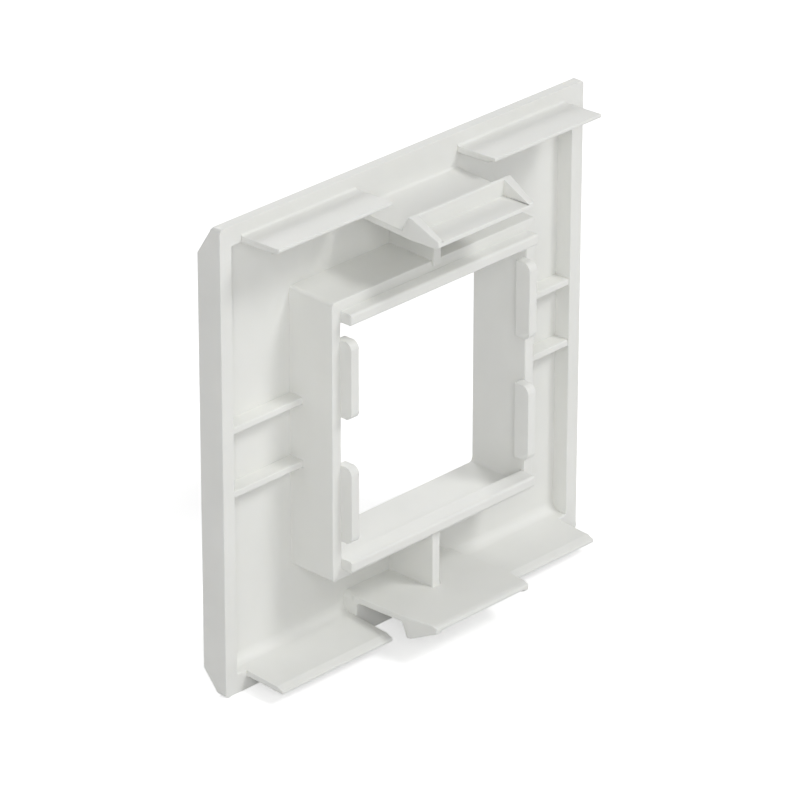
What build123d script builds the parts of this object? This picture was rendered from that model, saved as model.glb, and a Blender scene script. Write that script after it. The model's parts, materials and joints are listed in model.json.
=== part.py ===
"""Keystone module holder: a one-piece moulded cover plate that snaps into a wiring frame.

The plate stands upright. Its show side faces -Y and its back faces +Y, with +Z up. The origin is
the middle of the plate, in the plane of the rim's rear face, which seats against the frame. Depths
are counted backwards from the show side. All sizes are in millimetres.
"""

import os

from build123d import *

# Plate and its rim
plate_width = 45.0
plate_height = 45.0
plate_depth = 2.8
floor_thickness = 1.1
rim_side = 1.4
rim_end = 1.95
edge_strip = 0.95
top_chamfer = 2.9
bottom_chamfer = 2.1
plate_corner_radius = 0.4
recess_fillet = 1.0

# Collar round the module opening, its opening a little wider at the back than at the front
window_width = 22.8
window_height = 24.9
window_corner_radius = 0.3
window_flare_side = 0.25
window_flare_end = 0.05
collar_wall_side = 1.1
collar_wall_end = 1.05
collar_depth = 5.15
collar_corner_radius = 0.4
collar_draft = 0.8

# Inner lips that hold the module: a bead along the top and bottom, two tongues on each side
lip_reach = 1.3
lip_seat = 0.45
bead_height = 1.1
bead_nose_radius = 0.25
tongue_thickness = 0.95
tongue_length = 7.45
tongue_gap = 4.6
tongue_corner_radius = 0.8

# Ribs between the collar and the rim, and webs between the collar and the clips
rib_thickness = 0.65
rib_gap = 5.45
rib_drop = 0.15
web_thickness = 0.9
web_depth = 5.45

# Frame ledges: two long thin lips beside each clip, leaning outwards a little
ledge_end_gap = 2.5
ledge_thickness = 0.6
ledge_depth = 4.5
ledge_lean = 0.2
ledge_tip = 0.35
ledge_lead = 0.75
ledge_lead_radius = 0.5
ledge_root_fillet = 0.25

# Snap clips: a springy arm on a raised foot, its barbed head hollowed between two cheeks
clip_width = 12.6
clip_inset = 3.85
clip_lean = 0.45
clip_thickness = 0.6
clip_reach = 9.5
clip_end_width = 11.8
clip_root_fillet = 0.3
barb_height = 1.4
barb_length = 3.95
barb_lean = 0.65
barb_crest = 0.35
barb_end_height = 0.75
barb_lead = 0.6
barb_lead_rise = 0.2
cheek_thickness = 1.0
pocket_floor = 0.62

# Places worked out from the sizes above
half_width = plate_width / 2
half_height = plate_height / 2
recess_depth = plate_depth - floor_thickness
rim_edge = half_height - rim_end
rim_side_edge = half_width - rim_side
collar_rear = floor_thickness + collar_depth
rear_window_width = window_width + 2 * window_flare_side
rear_window_height = window_height + 2 * window_flare_end
window_side = rear_window_width / 2
window_top = rear_window_height / 2
collar_side = window_side + collar_wall_side
collar_top = window_top + collar_wall_end
lip_front = collar_rear - lip_seat
lip_rear = collar_rear + lip_reach
bead_inner = window_top - bead_height
rib_middle = (rib_gap + rib_thickness) / 2
tongue_middle = (tongue_gap + tongue_length) / 2
clip_side = clip_width / 2
overlap = floor_thickness / 2


def behind(depth):
    """The upright sketch plane that lies this far behind the show side."""
    return Plane.XZ.offset(plate_depth - depth)


def side_view(position):
    """The sketch plane at this X, with depth behind the show side across it and height up it."""
    return Plane(origin=(position, -plate_depth, 0), x_dir=(0, 1, 0), z_dir=(1, 0, 0))


# Side view of a ledge: it carries on from the recess's edge and ends in a slanted lead-in
ledge_rear = plate_depth + ledge_depth
ledge_outer = rim_edge + ledge_thickness
ledge_tip_outer = ledge_outer + ledge_lean
ledge_side = [
    ((plate_depth, ledge_outer + 2 * ledge_root_fillet), 0),
    ((plate_depth, ledge_outer), ledge_root_fillet),
    ((ledge_rear, ledge_tip_outer), 0),
    ((ledge_rear, ledge_tip_outer - ledge_tip), 0),
    ((ledge_rear - ledge_lead, rim_edge + ledge_lean), ledge_lead_radius),
    ((plate_depth, rim_edge), 0),
    ((plate_depth - overlap, rim_edge), 0),
    ((plate_depth - overlap, ledge_outer + 2 * ledge_root_fillet), 0),
]

# Side view of a clip: the arm leans a little towards the collar and ends in the barbed head
clip_rear = plate_depth + clip_reach
clip_root = half_height - clip_inset
clip_slope = clip_lean / clip_reach
barb_front = clip_rear - barb_length
crest_front = barb_front + barb_lean
crest_rear = crest_front + barb_crest
barb_root = clip_root + clip_thickness - clip_slope * (barb_front - plate_depth)
crest_height = barb_root + barb_height
clip_end = clip_root - clip_lean
pocket_height = clip_end + pocket_floor
clip_profile = [
    ((plate_depth - overlap, clip_root), 0),
    ((plate_depth, clip_root), 0),
    ((clip_rear - barb_lead, clip_end + clip_slope * barb_lead), 0),
    ((clip_rear, clip_end + barb_lead_rise), 0),
    ((clip_rear, clip_end + barb_end_height), 0),
    ((crest_rear, crest_height), 0),
    ((crest_front, crest_height), 0),
    ((barb_front, barb_root), 0),
    ((plate_depth, clip_root + clip_thickness), clip_root_fillet),
    ((plate_depth, clip_root + clip_thickness + 2 * clip_root_fillet), 0),
    ((plate_depth - overlap, clip_root + clip_thickness + 2 * clip_root_fillet), 0),
]

# One clip: its side view, narrowed towards its free end, less the pocket between its cheeks
with BuildPart() as clip:
    with BuildSketch(side_view(-clip_side)):
        with BuildLine():
            FilletPolyline(
                *[point for point, radius in clip_profile],
                radius=[radius for point, radius in clip_profile],
                close=True,
            )
        make_face()
    extrude(amount=clip_width)
    for side in (-1, 1):
        with BuildSketch(Plane.XY.offset(clip_end)):
            with BuildLine():
                Polyline(
                    (side * clip_side, crest_front - plate_depth),
                    (side * clip_end_width / 2, clip_rear - plate_depth),
                    (side * clip_width, clip_rear - plate_depth),
                    (side * clip_width, crest_front - plate_depth),
                    close=True,
                )
            make_face()
        extrude(amount=crest_height, mode=Mode.SUBTRACT)
    with BuildSketch(side_view(-clip_side + cheek_thickness)):
        with BuildLine():
            Polyline(
                (crest_rear, pocket_height),
                (clip_rear + barb_length, pocket_height),
                (clip_rear + barb_length, crest_height + barb_height),
                (crest_rear, crest_height + barb_height),
                close=True,
            )
        make_face()
    extrude(amount=clip_width - 2 * cheek_thickness, mode=Mode.SUBTRACT)

# Everything that the upper and lower halves share, before it is mirrored to the lower half
with BuildPart() as upper_half:
    # Raised foot of the clip, level with the rim, its corners towards the collar rounded
    with BuildSketch(behind(overlap)) as foot:
        with Locations((0, clip_root)):
            Rectangle(clip_width, rim_edge + overlap - clip_root, align=(Align.CENTER, Align.MIN))
        fillet(foot.vertices().group_by(Axis.Y)[0], clip_thickness)
    extrude(amount=-(plate_depth - overlap))
    add(clip.part)

    # Ledges to both sides of the clip
    for start in (clip_side, ledge_end_gap - half_width):
        with BuildSketch(side_view(start)):
            with BuildLine():
                FilletPolyline(
                    *[point for point, radius in ledge_side],
                    radius=[radius for point, radius in ledge_side],
                    close=True,
                )
            make_face()
        extrude(amount=half_width - ledge_end_gap - clip_side)

    # Web from the collar's wall to the clip's arm
    with BuildSketch(side_view(-web_thickness / 2)):
        with Locations((overlap, collar_top - collar_wall_end / 2)):
            Rectangle(
                floor_thickness - overlap + web_depth,
                clip_root - collar_top + collar_wall_end / 2,
                align=(Align.MIN, Align.MIN),
            )
    extrude(amount=web_thickness)

    # Ribs from the collar's walls to the rim, almost level with the rim
    with BuildSketch(behind(overlap)):
        rib_inner = collar_side - collar_wall_side / 2
        rib_outer = half_width - rim_side / 2
        for side in (-1, 1):
            with Locations((side * (rib_inner + rib_outer) / 2, rib_middle)):
                Rectangle(rib_outer - rib_inner, rib_thickness)
    extrude(amount=-(plate_depth - rib_drop - overlap))

with BuildPart() as module_holder:
    # Plate with a shallow recess in its back, rounded where its floor meets the end walls
    with BuildSketch(behind(0)):
        RectangleRounded(plate_width, plate_height, plate_corner_radius)
    extrude(amount=-plate_depth)
    with BuildSketch(side_view(-rim_side_edge)) as recess:
        with Locations((floor_thickness, 0)):
            Rectangle(recess_depth, 2 * rim_edge, align=(Align.MIN, Align.CENTER))
        fillet(recess.vertices().group_by(Axis.X)[0], recess_fillet)
    extrude(amount=2 * rim_side_edge, mode=Mode.SUBTRACT)

    add(upper_half.part)
    add(mirror(upper_half.part, about=Plane.XY, mode=Mode.PRIVATE))

    # Collar with moulding draft on its outside, and the flared opening through it
    with BuildSketch(behind(floor_thickness)):
        RectangleRounded(2 * collar_side, 2 * collar_top, collar_corner_radius)
    extrude(amount=-collar_depth, taper=collar_draft)
    with BuildSketch(behind(0)):
        RectangleRounded(window_width, window_height, window_corner_radius)
    with BuildSketch(behind(collar_rear)):
        RectangleRounded(rear_window_width, rear_window_height, window_corner_radius)
    loft(mode=Mode.SUBTRACT)

    # Beads along the top and bottom of the opening
    for side in (-1, 1):
        with BuildSketch(side_view(-window_side)):
            with BuildLine():
                FilletPolyline(
                    (lip_front, side * window_top),
                    (lip_rear, side * window_top),
                    (lip_rear, side * bead_inner),
                    (lip_front, side * bead_inner),
                    radius=[0, bead_nose_radius, bead_nose_radius, 0],
                    close=True,
                )
            make_face()
        extrude(amount=2 * window_side)

    # Two tongues on each side of the opening, their free corners rounded
    for side in (-1, 1):
        with BuildSketch(side_view(side * window_side)) as tongues:
            with Locations((lip_front, tongue_middle), (lip_front, -tongue_middle)):
                Rectangle(lip_seat + lip_reach, tongue_length, align=(Align.MIN, Align.CENTER))
            fillet(tongues.vertices().group_by(Axis.X)[-1], tongue_corner_radius)
        extrude(amount=-side * tongue_thickness)

    # The show side slopes back towards the top and bottom edges, down to a narrow flat strip
    slope_depth = plate_depth - edge_strip
    with BuildSketch(side_view(-half_width)):
        with BuildLine():
            Polyline(
                (0, half_height - top_chamfer),
                (slope_depth, half_height),
                (0, half_height),
                close=True,
            )
        make_face()
        with BuildLine():
            Polyline(
                (0, bottom_chamfer - half_height),
                (slope_depth, -half_height),
                (0, -half_height),
                close=True,
            )
        make_face()
    extrude(amount=plate_width, mode=Mode.SUBTRACT)

module_holder.part.label = "module_holder"

os.makedirs("parts", exist_ok=True)
export_step(module_holder.part, "parts/module_holder.step")
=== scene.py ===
"""Keystone module holder: an off-white moulded cover plate, shown from its back.

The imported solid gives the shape. This file gives its outer edges a fine rounding, dresses it in
plastic, and adds the floor, the studio light and the camera. Every length is in metres.
"""

import json
import logging
import math
from dataclasses import dataclass, field
from enum import Enum

import bmesh
import bpy
from mathutils import Matrix, Vector

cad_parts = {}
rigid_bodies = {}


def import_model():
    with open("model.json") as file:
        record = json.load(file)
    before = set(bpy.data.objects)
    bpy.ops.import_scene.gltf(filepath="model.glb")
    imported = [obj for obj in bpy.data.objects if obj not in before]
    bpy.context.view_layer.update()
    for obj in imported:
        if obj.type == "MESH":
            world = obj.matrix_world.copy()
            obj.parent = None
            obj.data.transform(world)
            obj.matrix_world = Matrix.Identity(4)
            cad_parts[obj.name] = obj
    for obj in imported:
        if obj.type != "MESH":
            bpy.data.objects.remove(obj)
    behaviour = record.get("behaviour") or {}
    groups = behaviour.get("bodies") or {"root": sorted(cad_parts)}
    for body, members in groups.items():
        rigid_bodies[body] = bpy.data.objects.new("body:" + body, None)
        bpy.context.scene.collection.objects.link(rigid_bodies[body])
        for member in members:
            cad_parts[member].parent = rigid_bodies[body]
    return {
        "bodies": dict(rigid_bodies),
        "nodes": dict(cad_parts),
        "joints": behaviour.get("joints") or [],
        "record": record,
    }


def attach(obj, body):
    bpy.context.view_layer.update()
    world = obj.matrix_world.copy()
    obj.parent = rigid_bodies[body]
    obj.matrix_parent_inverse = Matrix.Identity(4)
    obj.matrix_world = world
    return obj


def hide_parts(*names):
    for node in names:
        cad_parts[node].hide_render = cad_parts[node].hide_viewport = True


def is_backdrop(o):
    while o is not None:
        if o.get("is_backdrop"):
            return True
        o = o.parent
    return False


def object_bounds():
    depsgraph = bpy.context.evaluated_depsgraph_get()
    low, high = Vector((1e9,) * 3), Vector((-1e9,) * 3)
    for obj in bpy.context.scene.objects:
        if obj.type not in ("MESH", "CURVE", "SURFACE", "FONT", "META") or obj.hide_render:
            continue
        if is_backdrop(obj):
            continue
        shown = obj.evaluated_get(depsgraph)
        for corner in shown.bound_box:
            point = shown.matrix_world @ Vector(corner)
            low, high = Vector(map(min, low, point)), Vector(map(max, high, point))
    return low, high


LOG = logging.getLogger("module_holder")
MM = 0.001

Colour = tuple[float, float, float, float]
Place = tuple[float, float, float]
Span = tuple[float, float]
WHITE: Colour = (1.0, 1.0, 1.0, 1.0)


def spread(
    tree: bpy.types.NodeTree, value: bpy.types.NodeSocket, source: Span, target: Span
) -> bpy.types.NodeSocket:
    """Maps one span of values onto another in a material.

    Args:
        tree: The material's node tree.
        value: The socket with the value.
        source: The span that the value is expected in; outside it the result stays at an end.
        target: The span that the result covers.

    Returns:
        The socket with the result.
    """
    node = tree.nodes.new("ShaderNodeMapRange")
    node.inputs["From Min"].default_value, node.inputs["From Max"].default_value = source
    node.inputs["To Min"].default_value, node.inputs["To Max"].default_value = target
    tree.links.new(value, node.inputs["Value"])
    return node.outputs["Result"]


class Texture(Enum):
    """The kinds of pattern that a plastic surface is made of."""

    GRAIN = "grain"
    CLOUD = "cloud"
    FLOW = "flow"


@dataclass(frozen=True)
class Pattern:
    """One layer of noise over a surface, in the object's own coordinates."""

    kind: Texture
    spots_per_metre: float
    detail: float
    stretch: Place = (1.0, 1.0, 1.0)
    roughness: float = 0.55

    def add_to(self, tree: bpy.types.NodeTree, place: bpy.types.NodeSocket) -> bpy.types.NodeSocket:
        """Adds the layer to a material.

        Args:
            tree: The material's node tree.
            place: The socket that gives object coordinates.

        Returns:
            The socket with the layer's value, from 0 to 1.
        """
        turn = tree.nodes.new("ShaderNodeMapping")
        turn.label = self.kind.value
        turn.inputs["Scale"].default_value = self.stretch
        noise = tree.nodes.new("ShaderNodeTexNoise")
        noise.label = self.kind.value
        noise.inputs["Scale"].default_value = self.spots_per_metre
        noise.inputs["Detail"].default_value = self.detail
        noise.inputs["Roughness"].default_value = self.roughness
        tree.links.new(place, turn.inputs["Vector"])
        tree.links.new(turn.outputs["Vector"], noise.inputs["Vector"])
        return noise.outputs["Fac"]


@dataclass(frozen=True)
class Relief:
    """How strongly a layer of noise stands out from the surface."""

    strength: float
    depth: float

    def add_to(
        self, tree: bpy.types.NodeTree, height: bpy.types.NodeSocket
    ) -> bpy.types.ShaderNodeBump:
        """Adds the relief to a material.

        Args:
            tree: The material's node tree.
            height: The socket with the layer's value.

        Returns:
            The bump node.
        """
        bump = tree.nodes.new("ShaderNodeBump")
        bump.inputs["Strength"].default_value = self.strength
        bump.inputs["Distance"].default_value = self.depth
        tree.links.new(height, bump.inputs["Height"])
        return bump


@dataclass(frozen=True)
class MouldedPlastic:
    """Off-white plastic straight from a finely eroded mould.

    The cloud and a share of the flow marks choose between the pale and the deep colour. The grain
    changes the gloss, and both the flow marks and the grain stand out a little.
    """

    name: str = "off_white_plastic"
    pale: Colour = (0.835, 0.838, 0.812, 1.0)
    deep: Colour = (0.795, 0.799, 0.772, 1.0)
    flow_share: float = 0.35
    tint_span: Span = (0.45, 0.9)
    grain_span: Span = (0.3, 0.7)
    roughness_span: Span = (0.42, 0.56)
    refraction: float = 1.5
    specular: float = 0.45
    translucence: float = 0.12
    light_reach: float = 0.7 * MM
    light_reach_by_colour: Place = (1.0, 0.95, 0.8)
    grain: Pattern = Pattern(Texture.GRAIN, 5200.0, 2.0)
    cloud: Pattern = Pattern(Texture.CLOUD, 95.0, 3.0)
    flow: Pattern = Pattern(Texture.FLOW, 260.0, 2.0, (1.0, 1.0, 0.35))
    waves: Relief = Relief(0.15, 0.02 * MM)
    pits: Relief = Relief(0.25, 0.012 * MM)

    def material(self) -> bpy.types.Material:
        """Builds the plastic.

        Returns:
            The new material.
        """
        made = bpy.data.materials.new(self.name)
        made.use_nodes = True
        tree = made.node_tree
        shader = tree.nodes["Principled BSDF"]
        shader.inputs["IOR"].default_value = self.refraction
        shader.inputs["Specular IOR Level"].default_value = self.specular
        shader.inputs["Subsurface Weight"].default_value = self.translucence
        shader.inputs["Subsurface Radius"].default_value = self.light_reach_by_colour
        shader.inputs["Subsurface Scale"].default_value = self.light_reach
        place = tree.nodes.new("ShaderNodeTexCoord").outputs["Object"]
        cloud = self.cloud.add_to(tree, place)
        flow = self.flow.add_to(tree, place)
        grain = self.grain.add_to(tree, place)

        mixed = tree.nodes.new("ShaderNodeMath")
        mixed.operation = "MULTIPLY_ADD"
        mixed.inputs[1].default_value = self.flow_share
        tree.links.new(flow, mixed.inputs[0])
        tree.links.new(cloud, mixed.inputs[2])
        colour = tree.nodes.new("ShaderNodeMix")
        colour.data_type = "RGBA"
        colour.inputs["A"].default_value = self.deep
        colour.inputs["B"].default_value = self.pale
        tint = spread(tree, mixed.outputs[0], self.tint_span, (0.0, 1.0))
        tree.links.new(tint, colour.inputs["Factor"])
        tree.links.new(colour.outputs["Result"], shader.inputs["Base Color"])

        roughness = spread(tree, grain, self.grain_span, self.roughness_span)
        tree.links.new(roughness, shader.inputs["Roughness"])

        waves = self.waves.add_to(tree, flow)
        pits = self.pits.add_to(tree, grain)
        tree.links.new(waves.outputs["Normal"], pits.inputs["Normal"])
        tree.links.new(pits.outputs["Normal"], shader.inputs["Normal"])
        return made


@dataclass(frozen=True)
class StudioWhite:
    """The floor's white: it keeps a shadow, and shows the camera a white ground.

    The lift is what the camera sees added to the floor: a little near the holder, so that its
    shadow stays, and more far away, where the lamps no longer reach.
    """

    name: str = "studio_white"
    colour: Colour = (0.8, 0.8, 0.8, 1.0)
    roughness: float = 0.9
    distance_span: Span = (0.12, 0.6)
    lift_span: Span = (0.5, 0.8)

    def material(self) -> bpy.types.Material:
        """Builds the floor's material.

        Returns:
            The new material.
        """
        made = bpy.data.materials.new(self.name)
        made.use_nodes = True
        tree = made.node_tree
        shader = tree.nodes["Principled BSDF"]
        shader.inputs["Base Color"].default_value = self.colour
        shader.inputs["Roughness"].default_value = self.roughness
        shader.inputs["Specular IOR Level"].default_value = 0.0
        shader.inputs["Emission Color"].default_value = WHITE
        place = tree.nodes.new("ShaderNodeTexCoord").outputs["Object"]
        distance = tree.nodes.new("ShaderNodeVectorMath")
        distance.operation = "LENGTH"
        tree.links.new(place, distance.inputs[0])
        lift = spread(tree, distance.outputs["Value"], self.distance_span, self.lift_span)
        seen = tree.nodes.new("ShaderNodeLightPath")
        strength = tree.nodes.new("ShaderNodeMath")
        strength.operation = "MULTIPLY"
        tree.links.new(seen.outputs["Is Camera Ray"], strength.inputs[0])
        tree.links.new(lift, strength.inputs[1])
        tree.links.new(strength.outputs[0], shader.inputs["Emission Strength"])
        return made


@dataclass
class Moulding:
    """The holder itself, one moulded piece whose sharp outer edges are lightly rounded.

    Angles are in degrees, between the faces' normals at an edge.
    """

    node: str = "module_holder"
    slot: str = "plastic"
    merge_gap: float = 0.002 * MM
    edge_round: float = 0.09 * MM
    round_steps: int = 2
    sharp_from: float = 35.0
    crease_from: float = 60.0
    shortest: float = 0.15 * MM
    finish: MouldedPlastic = field(default_factory=MouldedPlastic)

    def is_rounded(self, edge: bmesh.types.BMEdge) -> bool:
        """Tells whether an edge is a sharp outer one, long enough to take the rounding."""
        sharp = edge.calc_face_angle(0.0) > math.radians(self.sharp_from)
        return sharp and edge.is_convex and edge.calc_length() > self.shortest

    def is_crisp(self, edge: bmesh.types.BMEdge) -> bool:
        """Tells whether the shading breaks at an edge: inner corners, and ends left unrounded."""
        limit = self.crease_from if edge.is_convex else self.sharp_from
        return edge.calc_face_angle(0.0) > math.radians(limit)

    def rounded(self, source: bpy.types.Mesh) -> bpy.types.Mesh:
        """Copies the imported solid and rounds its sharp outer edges; inner corners stay crisp.

        Args:
            source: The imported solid's mesh, which stays as it is.

        Returns:
            The new mesh.
        """
        shape = bmesh.new()
        shape.from_mesh(source)
        bmesh.ops.remove_doubles(shape, verts=shape.verts, dist=self.merge_gap)
        bmesh.ops.bevel(
            shape,
            geom=[edge for edge in shape.edges if self.is_rounded(edge)],
            offset=self.edge_round,
            offset_type="OFFSET",
            affect="EDGES",
            segments=self.round_steps,
            profile=0.5,
            material=-1,
            clamp_overlap=False,
        )
        for face in shape.faces:
            face.smooth = True
        for edge in shape.edges:
            edge.smooth = not self.is_crisp(edge)
        mesh = bpy.data.meshes.new("moulding")
        shape.to_mesh(mesh)
        shape.free()
        return mesh

    def build(self, frame: dict) -> bpy.types.Object:
        """Builds the moulding in its plastic.


        Returns:
            The finished piece.
        """
        mesh = self.rounded(frame["nodes"][self.node].data)
        mesh.materials.clear()
        mesh.materials.append(self.finish.material())
        piece = bpy.data.objects.new("moulding", mesh)
        bpy.context.scene.collection.objects.link(piece)
        even = piece.modifiers.new("even_shading", "WEIGHTED_NORMAL")
        even.keep_sharp = True
        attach(piece, "root")
        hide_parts(self.node)
        LOG.info("built %s with %d faces", piece.name, len(mesh.polygons))
        return piece


@dataclass(frozen=True)
class SoftLamp:
    """A round area lamp that points at the middle of the holder."""

    name: str
    place: Place
    power: float
    size: float

    def hang(self) -> bpy.types.Object:
        """Hangs the lamp.

        Returns:
            The lamp.
        """
        light = bpy.data.lights.new(self.name, "AREA")
        light.shape = "DISK"
        light.size = self.size
        light.energy = self.power
        lamp = bpy.data.objects.new(self.name, light)
        bpy.context.scene.collection.objects.link(lamp)
        lamp.location = Vector(self.place)
        lamp.rotation_euler = Vector(self.place).to_track_quat("Z", "Y").to_euler()
        LOG.info("hung %s", lamp.name)
        return lamp


@dataclass
class Studio:
    """The pale floor, the world and the lamps."""

    floor_half: float = 3.0
    world_strength: float = 0.36
    key: SoftLamp = SoftLamp("key", (-0.22, 0.5, 0.62), 2.3, 0.24)
    fill: SoftLamp = SoftLamp("fill", (0.4, 0.45, 0.3), 1.28, 0.3)
    front: SoftLamp = SoftLamp("front", (-0.3, -0.65, 0.36), 2.2, 0.4)
    white: StudioWhite = field(default_factory=StudioWhite)

    def floor(self, height: float) -> bpy.types.Object:
        """Lays the floor.

        Args:
            height: The floor's height.

        Returns:
            The floor.
        """
        shape = bmesh.new()
        bmesh.ops.create_grid(shape, x_segments=2, y_segments=2, size=self.floor_half)
        bmesh.ops.translate(shape, verts=shape.verts, vec=Vector((0.0, 0.0, height)))
        mesh = bpy.data.meshes.new("floor")
        shape.to_mesh(mesh)
        shape.free()
        mesh.materials.append(self.white.material())
        laid = bpy.data.objects.new("floor", mesh)
        bpy.context.scene.collection.objects.link(laid)
        laid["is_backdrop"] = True
        LOG.info("laid the floor at %.4f", height)
        return laid

    def world(self) -> None:
        """Lights the room evenly, and shows the camera plain white."""
        room = bpy.data.worlds.new("studio")
        room.use_nodes = True
        tree = room.node_tree
        tree.nodes.clear()
        seen = tree.nodes.new("ShaderNodeLightPath")
        even = tree.nodes.new("ShaderNodeBackground")
        even.inputs["Strength"].default_value = self.world_strength
        backdrop = tree.nodes.new("ShaderNodeBackground")
        backdrop.inputs["Strength"].default_value = 1.0
        for ground in (even, backdrop):
            ground.inputs["Color"].default_value = WHITE
        choice = tree.nodes.new("ShaderNodeMixShader")
        out = tree.nodes.new("ShaderNodeOutputWorld")
        tree.links.new(seen.outputs["Is Camera Ray"], choice.inputs["Fac"])
        tree.links.new(even.outputs["Background"], choice.inputs[1])
        tree.links.new(backdrop.outputs["Background"], choice.inputs[2])
        tree.links.new(choice.outputs["Shader"], out.inputs["Surface"])
        bpy.context.scene.world = room

    def build(self, lowest: float) -> None:
        """Builds the whole studio round the holder.

        Args:
            lowest: The height of the holder's lowest edge.
        """
        self.floor(lowest)
        self.world()
        for lamp in (self.key, self.fill, self.front):
            lamp.hang()


@dataclass(frozen=True)
class Viewpoint:
    """The camera, as the photograph was taken. Angles are in degrees."""

    azimuth: float = 134.270
    elevation: float = 26.382
    roll: float = 0.083
    place: Place = (0.32054, 0.31168, 0.22045)
    lens: float = 254.68
    sensor: float = 36.0
    seen_span: Span = (0.01, 20.0)

    def axes(self) -> Matrix:
        """Works out which way the camera's right, up and back point.

        Returns:
            The camera's turn.
        """
        turn, rise, lean = map(math.radians, (self.azimuth, self.elevation, self.roll))
        back = Vector(
            (math.sin(turn) * math.cos(rise), -math.cos(turn) * math.cos(rise), math.sin(rise))
        )
        right = Vector((0.0, 0.0, 1.0)).cross(back).normalized()
        up = back.cross(right)
        across = right * math.cos(lean) + up * math.sin(lean)
        along = up * math.cos(lean) - right * math.sin(lean)
        return Matrix((across, along, back)).transposed()

    def camera(self) -> bpy.types.Object:
        """Places the camera.

        Returns:
            The scene's camera.
        """
        data = bpy.data.cameras.new("camera")
        data.sensor_width = self.sensor
        data.lens = self.lens
        data.clip_start, data.clip_end = self.seen_span
        eye = bpy.data.objects.new("camera", data)
        bpy.context.scene.collection.objects.link(eye)
        eye.matrix_world = Matrix.Translation(self.place) @ self.axes().to_4x4()
        bpy.context.scene.camera = eye
        return eye


def main() -> None:
    """Builds the scene: the holder, the studio round it and the camera."""
    logging.basicConfig(level=logging.INFO, format="%(name)s: %(message)s")
    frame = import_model()
    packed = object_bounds()
    Moulding().build(frame)
    Studio().build(packed[0].z)
    Viewpoint().camera()
    bpy.context.scene.view_settings.view_transform = "Standard"


if __name__ == "__main__":
    main()
